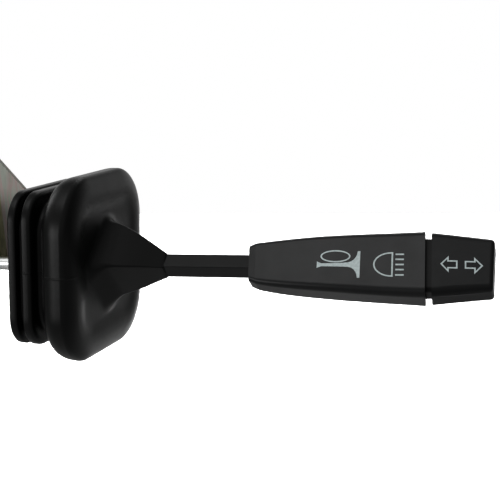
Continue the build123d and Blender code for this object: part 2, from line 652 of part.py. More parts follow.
def make_turn_contact_plate():
    """Insulating plate under the housing's top wall, with guide rails for the carriage."""
    half_x = CONTACT_PLATE_HALF_X
    plate = block(-half_x, half_x, AXIS_Y - CONTACT_PLATE_HALF_Y, AXIS_Y + CONTACT_PLATE_HALF_Y,
                  CONTACT_PLATE_Z, CAVITY_Z)
    for side in (-1, 1):
        inner = AXIS_Y + side * (CARRIAGE_HALF_Y + RUN_GAP)
        outer = AXIS_Y + side * CONTACT_PLATE_HALF_Y
        plate = plate + block(-half_x, half_x, inner, outer, CONTACT_PLATE_Z - GUIDE_RAIL,
                              CONTACT_PLATE_Z)
    for x in contact_places():
        plate = plate - rod_z(RIVET_R + SEAT_FIT, CONTACT_PLATE_Z - CUT, CAVITY_Z + CUT, x)
    return plate


def make_turn_fixed_contacts():
    rivets = []
    for x in contact_places():
        button = rod_z(RIVET_HEAD_R, CONTACT_PLATE_Z - RIVET_HEAD, CONTACT_PLATE_Z, x)
        rivets.append(button + rod_z(RIVET_R, CONTACT_PLATE_Z, CAVITY_Z, x))
    return Compound(children=rivets)


def make_turn_slider():
    """Carriage of the turn contacts, driven along X by the carrier's peg."""
    body = block(-CARRIAGE_HALF_X, CARRIAGE_HALF_X, AXIS_Y - CARRIAGE_HALF_Y,
                 AXIS_Y + CARRIAGE_HALF_Y, CARRIAGE_LOW, CARRIAGE_TOP)
    body = fillet(body.edges().filter_by(Axis.Z), CARRIAGE_CORNER_R)
    half_x = PEG_HALF / cos(radians(TURN_SWING)) + 2 * RUN_GAP
    half_y = PEG_HALF_Y + RUN_GAP
    return body - block(-half_x, half_x, AXIS_Y - half_y, AXIS_Y + half_y, CARRIAGE_LOW - CUT,
                        CARRIAGE_TOP + CUT)


def make_turn_bridge():
    """Contact frame on the carriage that joins the feed to one side."""
    half_y = CARRIAGE_HALF_Y - BRIDGE_EDGE
    top = CARRIAGE_TOP + BRIDGE
    frame = block(-BRIDGE_HALF_X, BRIDGE_HALF_X, AXIS_Y - half_y, AXIS_Y + half_y,
                  CARRIAGE_TOP, top)
    inner_x = BRIDGE_HALF_X - BRIDGE_WIDTH
    inner_y = half_y - BRIDGE_WIDTH
    return frame - block(-inner_x, inner_x, AXIS_Y - inner_y, AXIS_Y + inner_y,
                         CARRIAGE_TOP - CUT, top + CUT)


# ---- dip side
def make_dip_pin():
    pin = rod_z(DIP_PIN_R, -CHEEK_OUT - DIP_PIN_HEAD, CHEEK_OUT, DIP_PIVOT_X)
    return pin + rod_z(DIP_PIN_HEAD_R, CHEEK_OUT, CHEEK_OUT + DIP_PIN_HEAD, DIP_PIVOT_X)


def make_arm_block():
    """Block at the root of the stalk: it swings on the dip pin and holds the shaft."""
    tail = DIP_PIVOT_X - BLOCK_TAIL
    nose = DIP_PIVOT_X + BLOCK_NOSE
    arm = block(tail, nose, AXIS_Y - BLOCK_HALF_Y, AXIS_Y + BLOCK_HALF_Y, -BLOCK_HALF, BLOCK_HALF)
    arm = fillet(arm.edges().filter_by(Axis.Z), BLOCK_CORNER_R)
    arm = arm + rod_z(DIP_PEG_R, SLIDER_BOTTOM, -BLOCK_HALF / 2, DIP_PEG_X)
    arm = arm - rod_z(DIP_PIN_R + PIN_FIT, -BLOCK_HALF - CUT, BLOCK_HALF + CUT, DIP_PIVOT_X)
    arm = arm - rod_x(SHAFT_R + SEAT_FIT, SHAFT_START - SEAT_FIT, nose + CUT)
    arm = arm - rod_x(PLUNGER_R + PIN_FIT, tail - CUT, tail + DIP_BORE_DEPTH)
    return arm - rod_z(GRUB_R + SEAT_FIT, 0, BLOCK_HALF + CUT, GRUB_X)


def make_grub_screw():
    screw = rod_z(GRUB_R, SHAFT_R + SEAT_FIT, BLOCK_HALF, GRUB_X)
    half = GRUB_SLOT / 2
    return screw - block(GRUB_X - GRUB_R - CUT, GRUB_X + GRUB_R + CUT, AXIS_Y - half,
                         AXIS_Y + half, BLOCK_HALF - CUT, BLOCK_HALF + CUT)


def make_dip_slider():
    body = block(SLIDER_LOW, SLIDER_HIGH, AXIS_Y - SLIDER_HALF_Y, AXIS_Y + SLIDER_HALF_Y,
                 SLIDER_BOTTOM, SLIDER_TOP)
    body = fillet(body.edges().filter_by(Axis.Z), SLIDER_CORNER_R)
    half_y = DIP_PEG_R + PIN_FIT
    half_x = half_y + SLIDE_FREEDOM
    body = body - block(DIP_PEG_X - half_x, DIP_PEG_X + half_x, AXIS_Y - half_y,
                        AXIS_Y + half_y, SLIDER_BOTTOM - CUT, SLIDER_TOP + CUT)
    return body - make_dip_bridge()


def make_dip_bridge():
    """Contact strip let into the underside of the dip slider."""
    start = DIP_PEG_X + DIP_PEG_R + SLIDE_FREEDOM + DIP_BRIDGE_WALL
    return block(start, start + DIP_BRIDGE_WIDTH, AXIS_Y - DIP_BRIDGE_HALF_Y,
                 AXIS_Y + DIP_BRIDGE_HALF_Y, SLIDER_BOTTOM, SLIDER_BOTTOM + BRIDGE)


def dip_rivet_places():
    return (AXIS_Y - DIP_RIVET_SPACING / 2, AXIS_Y + DIP_RIVET_SPACING / 2)


def make_dip_contact_plate():
    low = SLIDER_LOW - RUN_GAP - SLIDER_RAIL
    high = SLIDER_HIGH + RUN_GAP + SLIDER_RAIL
    bottom = RAIL_BOTTOM - DIP_PLATE
    plate = block(low, high, AXIS_Y - CARRIER_HALF_Y, AXIS_Y + CARRIER_HALF_Y, bottom, RAIL_BOTTOM)
    for y in dip_rivet_places():
        plate = plate - rod_z(DIP_RIVET_R + SEAT_FIT, bottom - CUT, RAIL_BOTTOM + CUT, DIP_PEG_X, y)
    return plate


def make_dip_fixed_contacts():
    bottom = RAIL_BOTTOM - DIP_PLATE
    rivets = []
    for y in dip_rivet_places():
        shank = rod_z(DIP_RIVET_R, bottom, RAIL_BOTTOM, DIP_PEG_X, y)
        head = rod_z(DIP_RIVET_HEAD_R, bottom - DIP_RIVET_HEAD, bottom, DIP_PEG_X, y)
        rivets.append(shank + head)
    return Compound(children=rivets)


# ---- self-cancelling pawl
def make_pawl():
    pawl = rod_y(PAWL_HUB_R, AXIS_Y + PAWL_HALF_Y, AXIS_Y - PAWL_HALF_Y, PAWL_PIVOT_X)
    tip = PAWL_PIVOT_X - PAWL_REACH
    neck = tip + PAWL_TIP_LENGTH
    points = [(PAWL_PIVOT_X, -PAWL_ROOT_HALF), (PAWL_PIVOT_X, PAWL_ROOT_HALF),
              (neck, PAWL_TIP_HALF), (tip, 0.0), (neck, -PAWL_TIP_HALF)]
    pawl = pawl + outline_xz(points, AXIS_Y + PAWL_HALF_Y, AXIS_Y - PAWL_HALF_Y)
    bore = PAWL_HALF_Y + CUT
    return pawl - rod_y(PAWL_PIN_R + PIN_FIT, AXIS_Y + bore, AXIS_Y - bore, PAWL_PIVOT_X)


def make_pawl_pin():
    reach = FORK_SLOT + CHEEK
    return rod_y(PAWL_PIN_R, AXIS_Y + reach, AXIS_Y - reach, PAWL_PIVOT_X)


def make_pawl_springs():
    """Leaf springs on the fork, above and below the pawl's arm, that bring it back to the middle."""
    rest = PAWL_ROOT_HALF + RUN_GAP
    end = FORK_LEFT - LEAF_REACH
    seat_half = FORK_SLOT + CHEEK
    leaves = []
    for side in (-1, 1):
        points = [(FORK_LEFT, side * FORK_HALF_Z), (FORK_LEFT, side * (FORK_HALF_Z + LEAF)),
                  (FORK_LEFT - LEAF, side * (FORK_HALF_Z + LEAF)),
                  (FORK_LEFT - LEAF, side * (rest + LEAF)),
                  (end, side * (rest + LEAF)), (end, side * rest), (FORK_LEFT, side * rest)]
        leaf = outline_xz(points, AXIS_Y + LEAF_HALF_Y, AXIS_Y - LEAF_HALF_Y)
        leaf = leaf + block(FORK_LEFT, FORK_LEFT + LEAF_SEAT, AXIS_Y - seat_half,
                            AXIS_Y + seat_half, side * FORK_HALF_Z, side * (FORK_HALF_Z + LEAF))
        leaves.append(leaf)
    return Compound(children=leaves)


# ---- stalk
def make_shaft():
    bore = rod_x(SHAFT_BORE_R, SHAFT_START - CUT, SHAFT_END + CUT)
    return rod_x(SHAFT_R, SHAFT_START, SHAFT_END) - bore


def make_bar():
    bar = prism(BAR_START, BAR_END, BAR_SIDE, BAR_SIDE, BAR_CORNER_R)
    return bar - rod_x(SHAFT_R + SEAT_FIT, BAR_START - CUT, BAR_END + CUT)


def make_lead():
    return rod_x(LEAD_R, SHAFT_START + LEAD_INSET, NOSE_END)


def grip_form():
    """Bevelled nose, then a smooth loft through the sections."""
    body = GRIP_LENGTH - GRIP_NOSE
    first = GRIP_START + GRIP_NOSE
    inner = slanted(first, *GRIP_SECTIONS[0][1:])
    rows = [section(first + share * body, w, t, r) for share, w, t, r in GRIP_SECTIONS[1:]]
    return loft([slanted(GRIP_START, *GRIP_NOSE_SECTION), inner]) + loft([inner] + rows)


def make_grip():
    fit = 2 * SEAT_FIT
    grip = grip_form()
    w, t, r = NECK_SECTION
    grip = grip - prism(NECK_START - SEAT_FIT, GRIP_END + CUT, w + fit, t + fit, r)
    grip = grip - prism(GRIP_START - CUT, BAR_END + SEAT_FIT, BAR_SIDE + fit, BAR_SIDE + fit,
                        BAR_CORNER_R)
    return grip - rod_x(SHAFT_R + SEAT_FIT, BAR_END, NECK_START)


def make_button_guide():
    guide = prism(NECK_START, NECK_END, *NECK_SECTION)
    guide = guide + prism(NECK_END, NOSE_END - HORN_CONTACT, *NOSE_SECTION)
    return guide - rod_x(LEAD_R + SEAT_FIT, NECK_START - CUT, NOSE_END + CUT)


def make_horn_button():
    button = loft([section(BUTTON_START, *BUTTON_MOUTH_SECTION),
                   section(BUTTON_END, *BUTTON_END_SECTION)])
    button = fillet(button.faces().sort_by(Axis.X)[-1].edges(), BUTTON_END_EDGE_R)
    gap = 2 * BUTTON_SLIDE_GAP
    w, t, r = NECK_SECTION
    deep = NECK_END + HORN_TRAVEL + RUN_GAP
    button = button - prism(BUTTON_START - CUT, deep, w + gap, t + gap, r)
    w, t, r = NOSE_SECTION
    return button - prism(BUTTON_START, BUTTON_FLOOR, w + gap, t + gap, r)


def make_fixed_contact():
    disc = rod_x(HORN_CONTACT_R, NOSE_END - HORN_CONTACT, NOSE_END)
    return disc - rod_x(LEAD_R + SEAT_FIT, NOSE_END - CUT, NOSE_END + CUT)


def make_moving_contact():
    return rod_x(HORN_CONTACT_R, BUTTON_FLOOR - HORN_CONTACT, BUTTON_FLOOR)


def make_horn_spring():
    start = NOSE_END - HORN_CONTACT
    place = Pos(start, AXIS_Y, 0) * Rot(0, 90, 0)
    return coil(HORN_SPRING_R, SPRING_WIRE_R, BUTTON_FLOOR - start, HORN_SPRING_TURNS, place)


# ---- gaiter
def squared(x, half, radius):
    """Rounded square round the stalk, x out from the panel flange."""
    flat = Plane(origin=(PANEL_X + x, AXIS_Y, 0), x_dir=(0, 1, 0), z_dir=(1, 0, 0))
    return flat * RectangleRounded(2 * half, 2 * half, radius)


def slab(x0, x1, half, radius):
    return extrude(squared(x0, half, radius), x1 - x0)


def pyramid_row(grow, x):
    """Section of the pyramid; it sits higher towards its foot, as the cushion does."""
    share = (PYRAMID_TIP_X - x) / (PYRAMID_TIP_X - DISH_FLOOR)
    side = PYRAMID_TIP + (PYRAMID_BASE - PYRAMID_TIP) * share + 2 * grow
    flat = across_stalk(PANEL_X + x, PYRAMID_ROLL)
    return Pos(0, 0, GAITER_RISE * share) * flat * RectangleRounded(side, side, PYRAMID_EDGE * side)


def pyramid(grow, start, end):
    """Four-sided cone of the gaiter between two places, its walls moved out by grow."""
    return loft([pyramid_row(grow, start), pyramid_row(grow, end)], ruled=True)


def gaiter_flanges():
    """Panel flange, groove and second flange on the hollow neck."""
    start_2 = FLANGE + GROOVE
    end_2 = start_2 + FLANGE_2
    flange = slab(start_2, end_2, FLANGE_HALF, FLANGE_CORNER_R)
    flange = fillet(flange.faces().sort_by(Axis.X)[-1].edges(), FLANGE_2_EDGE_R)
    body = flange + slab(0, FLANGE, FLANGE_HALF, FLANGE_CORNER_R)
    body = body + slab(0, end_2, FLANGE_HALF - GROOVE_DEPTH, FLANGE_CORNER_R - GROOVE_DEPTH)
    return body + slab(0, CUSHION_BACK + NECK_IN_CUSHION, NECK_HALF, FLANGE_CORNER_R)


def gaiter_cushion():
    """Full rounded cushion with a dished front face."""
    cushion = slab(CUSHION_BACK, CUSHION_FRONT, CUSHION_HALF, CUSHION_CORNER_R)
    rims = cushion.faces().sort_by(Axis.X)
    cushion = fillet(rims[0].edges() + rims[-1].edges(), CUSHION_EDGE_R)
    dish = loft([
        squared(CUSHION_FRONT + SEAT_FIT, DISH_HALF, DISH_CORNER_R),
        squared(DISH_FLOOR, DISH_HALF - DISH_SLOPE, DISH_FLOOR_CORNER_R),
    ], ruled=True)
    return cushion, dish


def make_gaiter():
    """One soft moulding: panel flange, groove, second flange, cushion and pyramid."""
    cushion, dish = gaiter_cushion()
    body = gaiter_flanges() + cushion - dish
    hollow_end = DISH_FLOOR - GAITER_WALL
    body = body - slab(CUSHION_BACK + GAITER_WALL, hollow_end, CUSHION_HALF - 2 * GAITER_WALL,
                       CUSHION_CORNER_R - 2 * GAITER_WALL)
    body = body - slab(-CUT, hollow_end, NECK_HALF - GAITER_WALL, FLANGE_CORNER_R - GAITER_WALL)
    lean = Pos(PANEL_X + GAITER_LEAN_X, AXIS_Y, GAITER_RISE) * Rot(0, GAITER_LEAN, 0)
    body = lean * Pos(-PANEL_X - GAITER_LEAN_X, -AXIS_Y, 0) * body
    body = body + pyramid(0, DISH_FLOOR - GAITER_WALL / 2, PYRAMID_TIP_X)
    body = body + loft([pyramid_row(FLARE, DISH_FLOOR - GAITER_WALL / 2),
                        pyramid_row(0, DISH_FLOOR + FLARE_LENGTH)], ruled=True)
    body = body - pyramid(-GAITER_WALL, DISH_FLOOR - 2 * GAITER_WALL, PYRAMID_TIP_X - TIP_GRIP)
    hole = BAR_SIDE + 2 * GAITER_TO_BAR
    return body - prism(PANEL_X + DISH_FLOOR - 2 * GAITER_WALL, PANEL_X + PYRAMID_TIP_X + CUT,
                        hole, hole, BAR_CORNER_R)


PARTS = {
    "mounting_bracket": make_bracket,
    "housing_base": make_housing_base,
    "housing_cover": make_housing_cover,
    "housing_screws": make_screws,
    "turn_pivot_pin": make_turn_pin,
    "turn_pivot_clip": make_turn_clip,
    "turn_detent_cam": make_turn_cam,
    "turn_contact_plate": make_turn_contact_plate,
    "turn_fixed_contacts": make_turn_fixed_contacts,
    "lower_terminal_blades": lambda: make_blades(LOWER_BLADES, -1),
    "upper_terminal_blades": lambda: make_blades(UPPER_BLADES, 1),
    "gaiter": make_gaiter,
    "turn_carrier": make_turn_carrier,
    "turn_detent_spring": make_turn_spring,
    "turn_detent_plunger": make_turn_plunger,
    "turn_contact_slider": make_turn_slider,
    "turn_contact_bridge": make_turn_bridge,
    "dip_pivot_pin": make_dip_pin,
    "dip_detent_plate": make_dip_detent_plate,
    "dip_contact_plate": make_dip_contact_plate,
    "dip_fixed_contacts": make_dip_fixed_contacts,
    "dip_slider": make_dip_slider,
    "dip_contact_bridge": make_dip_bridge,
    "pawl_pin": make_pawl_pin,
    "pawl_springs": make_pawl_springs,
    "self_cancel_pawl": make_pawl,
    "arm_block": make_arm_block,
    "arm_grub_screw": make_grub_screw,
    "dip_detent_spring": make_dip_spring,
    "dip_detent_plunger": make_dip_plunger,
    "stalk_shaft": make_shaft,
    "stalk_bar": make_bar,
    "horn_lead": make_lead,
    "grip": make_grip,
    "button_guide": make_button_guide,
    "horn_fixed_contact": make_fixed_contact,
    "horn_return_spring": make_horn_spring,
    "horn_button": make_horn_button,
    "horn_moving_contact": make_moving_contact,
}

if __name__ == "__main__":
    os.makedirs("parts", exist_ok=True)
    for name, make in PARTS.items():
        export_step(make(), f"parts/{name}.step")
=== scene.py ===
import json
from collections import namedtuple
from math import cos, hypot, pi, radians, sin, sqrt

import bmesh
import bpy
from mathutils import Matrix, Vector
from mathutils.bvhtree import BVHTree


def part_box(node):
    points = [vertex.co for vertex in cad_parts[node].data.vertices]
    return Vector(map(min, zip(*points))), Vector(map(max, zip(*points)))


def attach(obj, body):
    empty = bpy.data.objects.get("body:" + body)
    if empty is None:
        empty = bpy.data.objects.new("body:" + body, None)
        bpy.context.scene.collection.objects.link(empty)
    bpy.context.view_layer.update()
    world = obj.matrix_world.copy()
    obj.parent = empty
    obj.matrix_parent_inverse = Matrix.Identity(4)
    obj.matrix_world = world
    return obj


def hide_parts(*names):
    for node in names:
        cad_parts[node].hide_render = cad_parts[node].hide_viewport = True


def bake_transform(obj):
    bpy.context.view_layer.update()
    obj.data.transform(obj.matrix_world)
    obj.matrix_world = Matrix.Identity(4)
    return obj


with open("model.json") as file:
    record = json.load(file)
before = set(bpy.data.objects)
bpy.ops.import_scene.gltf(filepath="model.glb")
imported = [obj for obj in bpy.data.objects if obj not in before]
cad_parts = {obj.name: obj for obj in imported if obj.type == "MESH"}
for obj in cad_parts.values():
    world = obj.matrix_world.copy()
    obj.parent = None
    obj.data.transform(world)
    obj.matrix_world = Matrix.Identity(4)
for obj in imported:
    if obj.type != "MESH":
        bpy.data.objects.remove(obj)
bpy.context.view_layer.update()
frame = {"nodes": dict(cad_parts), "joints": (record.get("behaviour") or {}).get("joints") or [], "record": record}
nodes = frame["nodes"]
scene = bpy.context.scene


def named(entries, name):
    """The joint or mount of the record that has this name."""
    return next(entry for entry in entries if entry["name"] == name)


# Shapes are worked out in mm: x out along the stalk, y away from the driver, z up.
# Lights, camera, floor and materials are in metres.
MM = 0.001
AXIS_Y = named(frame["joints"], "turn_swing")["pos_m"][1] / MM      # the stalk's axis
GROOVE_X = named(frame["record"]["mounts"], "gaiter_panel_groove")["pos_m"][0] / MM
PANEL_X = GROOVE_X - 4.0   # back of the gaiter's panel flange
GRIP_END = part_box("grip")[1].x / MM
CAP_START, CAP_END = (corner.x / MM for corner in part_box("horn_button"))
ROLL = radians(39.0)       # the grip's face looks up at the driver
BAR_ROLL = radians(50.0)   # the square bar, and the gaiter's hole for it


# ---- camera
CAMERA_PLACE = (0.266997, -0.387033, 0.071862)
CAMERA_TURN = 0.319        # radians, round the vertical
CAMERA_TILT = 0.166        # radians, looking down
CAMERA_ROLL = -0.046
FOCAL_LENGTH = 1182.312    # in pixels of the picture
PICTURE_WIDTH = 500
SENSOR_WIDTH = 36.0
CLIP = (0.01, 20.0)


def add_camera():
    back = Vector((sin(CAMERA_TURN) * cos(CAMERA_TILT), -cos(CAMERA_TURN) * cos(CAMERA_TILT),
                   sin(CAMERA_TILT)))
    side = Vector((0, 0, 1)).cross(back).normalized()
    up = back.cross(side)
    right = side * cos(CAMERA_ROLL) + up * sin(CAMERA_ROLL)
    high = up * cos(CAMERA_ROLL) - side * sin(CAMERA_ROLL)
    data = bpy.data.cameras.new("camera")
    data.sensor_width = SENSOR_WIDTH
    data.lens = FOCAL_LENGTH / PICTURE_WIDTH * SENSOR_WIDTH
    data.clip_start, data.clip_end = CLIP
    camera = bpy.data.objects.new("camera", data)
    place = Matrix((right, high, back)).transposed().to_4x4()
    place.translation = Vector(CAMERA_PLACE)
    camera.matrix_world = place
    scene.collection.objects.link(camera)
    scene.camera = camera


# ---- materials
NOISE_ROUGHNESS = 0.55
COLOUR_A, COLOUR_B, COLOUR_RESULT = 6, 7, 2    # the colour sockets of a mix node
STEP_SLANT = 0.0386        # the pressed step of the plate runs this far in, metre by metre upwards
STEP_EDGE = (0.0441, 0.0447)


class Nodes:
    """A material's node tree, built a node at a time."""

    def __init__(self, name):
        self.material = bpy.data.materials.new(name)
        self.material.use_nodes = True
        self.tree = self.material.node_tree
        self.shader = self.tree.nodes["Principled BSDF"]
        self.place = self.add("ShaderNodeTexCoord").outputs["Object"]

    def add(self, kind, **settings):
        node = self.tree.nodes.new(kind)
        for key, value in settings.items():
            setattr(node, key, value)
        return node

    def link(self, a, b):
        self.tree.links.new(a, b)

    def stretched(self, scale):
        """Object coordinates scaled along each axis; a small scale draws marks out along it."""
        node = self.add("ShaderNodeMapping")
        node.inputs["Scale"].default_value = scale
        self.link(self.place, node.inputs["Vector"])
        return node.outputs["Vector"]

    def noise(self, scale, detail, where=None):
        """Clouds: so many in a metre, with so many finer octaves."""
        node = self.add("ShaderNodeTexNoise")
        node.inputs["Scale"].default_value = scale
        node.inputs["Detail"].default_value = detail
        node.inputs["Roughness"].default_value = NOISE_ROUGHNESS
        self.link(where or self.place, node.inputs["Vector"])
        return node.outputs["Fac"]

    def ramp(self, value, stops):
        """Colours at places from 0 to 1 of the value."""
        node = self.add("ShaderNodeValToRGB")
        band = node.color_ramp
        while len(band.elements) < len(stops):
            band.elements.new(0.5)
        for element, (at, colour) in zip(band.elements, stops):
            element.position = at
            element.color = (*colour, 1)
        self.link(value, node.inputs["Fac"])
        return node.outputs["Color"]

    def spread(self, value, low, high):
        """The value's 0 to 1 spread between low and high."""
        node = self.add("ShaderNodeMapRange")
        node.inputs["To Min"].default_value = low
        node.inputs["To Max"].default_value = high
        self.link(value, node.inputs["Value"])
        return node.outputs["Result"]

    def bump(self, heights):
        """Chained bumps: (height output, distance in metres, strength)."""
        last = None
        for height, distance, strength in heights:
            node = self.add("ShaderNodeBump")
            node.inputs["Strength"].default_value = strength
            node.inputs["Distance"].default_value = distance
            self.link(height, node.inputs["Height"])
            if last:
                self.link(last, node.inputs["Normal"])
            last = node.outputs["Normal"]
        self.link(last, self.shader.inputs["Normal"])

    def colour(self, output):
        self.link(output, self.shader.inputs["Base Color"])

    def rough(self, output):
        self.link(output, self.shader.inputs["Roughness"])

    def constants(self, specular=0.5, metallic=0.0, roughness=0.5):
        """Constants on the shader; a rough() that is linked goes before the one here."""
        self.shader.inputs["Specular IOR Level"].default_value = specular
        self.shader.inputs["Metallic"].default_value = metallic
        self.shader.inputs["Roughness"].default_value = roughness


def plastic(name, dark, light, rough, specular=0.5, grain=0.00003, grain_scale=4200.0):
    """Moulded plastic with a fine spark-eroded grain and faint handling marks."""
    m = Nodes(name)
    m.colour(m.ramp(m.noise(90, detail=4), [(0.3, dark), (0.7, light)]))
    m.rough(m.spread(m.noise(160, detail=3), rough - 0.05, rough + 0.06))
    m.bump([(m.noise(grain_scale, detail=2), grain, 0.6), (m.noise(110, detail=2), 0.0001, 0.12)])
    m.constants(specular=specular)
    return m.material


def rubber(name):
    """Satin black rubber with a cloudy bloom and a fine grain."""
    m = Nodes(name)
    dark, bloom = (0.0022, 0.0024, 0.0023), (0.0048, 0.0053, 0.0051)
    m.colour(m.ramp(m.noise(55, detail=5), [(0.25, dark), (0.75, bloom)]))
    m.rough(m.spread(m.noise(75, detail=4), 0.29, 0.40))
    m.bump([(m.noise(3000, detail=2), 0.00003, 0.5), (m.noise(140, detail=2), 0.00018, 0.2)])
    m.constants(specular=0.23)
    return m.material


def metal(name, dark, light, rough, stretch=(1, 1, 1)):
    """Drawn, rolled or plated metal with marks along its grain."""
    m = Nodes(name)
    where = m.stretched(stretch)
    m.colour(m.ramp(m.noise(270, detail=4, where=where), [(0.3, dark), (0.7, light)]))
    m.rough(m.spread(m.noise(540, detail=3, where=where), rough - 0.06, rough + 0.08))
    m.bump([(m.noise(900, detail=3, where=where), 0.00001, 0.6)])
    m.constants(metallic=1.0)
    return m.material


def beyond_step(m):
    """0 on the pressed seat of the bracket, where the painted shade goes, and 1 beyond its slanting step, on the
    ear.
    """
    split = m.add("ShaderNodeSeparateXYZ")
    m.link(m.place, split.inputs[0])
    lean = m.add("ShaderNodeMath", operation="MULTIPLY_ADD")
    m.link(split.outputs["Z"], lean.inputs[0])
    lean.inputs[1].default_value = STEP_SLANT
    m.link(split.outputs["X"], lean.inputs[2])
    edge = m.add("ShaderNodeMapRange")
    edge.inputs["From Min"].default_value, edge.inputs["From Max"].default_value = STEP_EDGE
    m.link(lean.outputs[0], edge.inputs["Value"])
    return edge.outputs["Result"]


def zinc_plate(name):
    """Zinc plate, streaked down the sheet: a darker olive on the seat, partly its yellow tint and partly painted
    shade of the recess, with a pink and green bloom on the ear.
    """
    m = Nodes(name)
    streaks = m.stretched((1, 1, 0.12))
    bloom = m.ramp(m.noise(420, detail=3, where=streaks), [
        (0.28, (0.23, 0.25, 0.225)), (0.45, (0.30, 0.31, 0.28)), (0.54, (0.33, 0.27, 0.26)),
        (0.62, (0.27, 0.30, 0.255)), (0.75, (0.36, 0.37, 0.34))])
    # the seat's darker olive: partly the plate's yellow tint, partly painted shade of the recess
    olive_and_shade = m.ramp(m.noise(900, detail=3, where=streaks), [
        (0.3, (0.15, 0.145, 0.09)), (0.7, (0.31, 0.30, 0.20))])
    mix = m.add("ShaderNodeMix", data_type="RGBA")
    m.link(beyond_step(m), mix.inputs["Factor"])
    m.link(olive_and_shade, mix.inputs[COLOUR_A])
    m.link(bloom, mix.inputs[COLOUR_B])
    m.colour(mix.outputs[COLOUR_RESULT])
    m.rough(m.spread(m.noise(700, detail=3, where=streaks), 0.50, 0.66))
    m.bump([(m.noise(1500, detail=3, where=streaks), 0.00002, 0.5), (m.noise(120, detail=2), 0.0001, 0.2)])
    m.constants(metallic=0.85)
    return m.material


def ink(name):
    """Pad-printed ink, slightly chalky."""
    m = Nodes(name)
    m.colour(m.ramp(m.noise(1500, detail=3), [(0.3, (0.38, 0.44, 0.44)), (0.7, (0.52, 0.58, 0.58))]))
    m.rough(m.spread(m.noise(900, detail=2), 0.45, 0.6))
    m.bump([(m.noise(5000, detail=2), 0.00001, 0.4)])
    return m.material


def paint(name):
    """Flat studio paint, with faint clouds."""
    m = Nodes(name)
    m.colour(m.ramp(m.noise(3, detail=2), [(0.3, (0.62, 0.62, 0.62)), (0.7, (0.65, 0.65, 0.65))]))
    m.constants(specular=0.1, roughness=0.9)
    return m.material


MATERIALS = {
    "zinc_plate": zinc_plate("zinc_plate"),
    "housing_plastic": plastic("housing_plastic", (0.014, 0.015, 0.016), (0.022, 0.023, 0.024), 0.48),
    "bright_steel": metal("bright_steel", (0.46, 0.46, 0.44), (0.62, 0.61, 0.58), 0.32),
    "spring_steel": metal("spring_steel", (0.30, 0.30, 0.31), (0.42, 0.42, 0.43), 0.35),
    "shaft_steel": metal("shaft_steel", (0.60, 0.61, 0.60), (0.76, 0.77, 0.76), 0.36, (0.05, 1, 1)),
    "bar_black": plastic("bar_black", (0.003, 0.0033, 0.0033), (0.005, 0.0055, 0.0055), 0.30, 0.27),
    "brass": metal("brass", (0.58, 0.42, 0.16), (0.78, 0.60, 0.28), 0.30, (1, 1, 0.1)),
    "nylon": plastic("nylon", (0.62, 0.59, 0.50), (0.72, 0.69, 0.60), 0.42),
    "phenolic": plastic("phenolic", (0.16, 0.085, 0.035), (0.24, 0.13, 0.06), 0.45,
                        grain=0.00006, grain_scale=1800.0),
    "rubber": rubber("rubber"),
    "insulation": plastic("insulation", (0.02, 0.02, 0.02), (0.035, 0.035, 0.035), 0.5),
    "grip_plastic": plastic("grip_plastic", (0.0045, 0.005, 0.0052), (0.0075, 0.008, 0.0085), 0.32, 0.35),
    "guide_plastic": plastic("guide_plastic", (0.002, 0.0022, 0.0022), (0.0034, 0.0036, 0.0036), 0.42, 0.25),
    "button_plastic": plastic("button_plastic", (0.003, 0.0034, 0.0036), (0.005, 0.0055, 0.0058), 0.34, 0.25),
}
INK = ink("sign_ink")


def dress_nodes():
    """Gives every CAD node the material of its slot in the record."""
    for part in frame["record"]["subparts"]:
        mesh = nodes[part["node"]].data
        mesh.materials.clear()
        mesh.materials.append(MATERIALS[part["material_slot"]])


# ---- gaiter, with x from the back of its panel flange
# A body row is a rounded square: half its width and its corner radius. A pyramid row is a square
# standing on its corner: its side and its ridge radius. Diamond mixes the two, from 0 to 1. Lean and
# rise are the row's shares of LEAN and RISE.
Row = namedtuple("Row", "x half corner side diamond lean rise ridge",
                 defaults=(0.0, 0.0, 0.0, 0.0, 1.0, 1.0, 0.0))

TURNS = 256                # points round the gaiter, besides those of the parting lines
CLOSER = 0.7               # from 0 to 1: they draw together at ridges and corners
LEAN = radians(3.3)        # the gaiter leans back
LEAN_X = 15.6              # about this place
RISE = 1.2                 # and sits a little high

FLANGE_CORNER = 10.3       # corner radius of both flanges and the neck
CUSHION_BACK = 14.0
CUSHION_HALF = 32.0        # at the crest
CUSHION_CORNER = 18.6      # there, and as much less as the row is smaller
CUSHION_FRONT = 25.4
CROWN_POWER = 0.8          # under 1, the back of the cushion is fuller than an ellipse
SMOOTHED = (-2, 30)        # rows that are rounded together, from the first row of the dish
SMOOTH_ROUNDS = 6

FOOT_X = 24.8              # the pyramid grows out of the dish
TIP_X = 47.3
TIP_SIDE = 6.25
TIP_ROWS = ((TIP_X - 0.2, TIP_SIDE + 0.1), (TIP_X, TIP_SIDE - 0.25))     # x and side
TIP_RIDGE = 0.26
FOOT_SIDE = 22.6           # side of the pyramid, this far before its tip
FOOT_LENGTH = 23.4
FLARE = 6.5                # the foot widens by this
FLARE_LENGTH = 7.0
FLARE_POWER = 2.4
BELLY = 0.75               # and the middle by this
SOFT_LENGTH = 8.5          # the ridges are softer over this length of the foot
RIDGE, SOFT_RIDGE = 0.04, 0.22     # ridge radius as a share of the side
LEAN_LENGTH = 6.0          # the pyramid loses its lean over this length
RISE_START = 0.25          # it rises further up to this share of its length, and then sinks to the axis
PYRAMID_WALL = 2.0
FINE_STEP, FINE_END, COARSE_STEP = 0.3, 31.5, 0.9      # between the pyramid's rows
LAST_STEP = 0.8

BAR_HALF = 2.95            # half the width of the hole for the square bar
BAR_EDGE = 0.3
HOLE_ROWS = (TIP_X, TIP_X - 0.3, 41.0, 35.4)

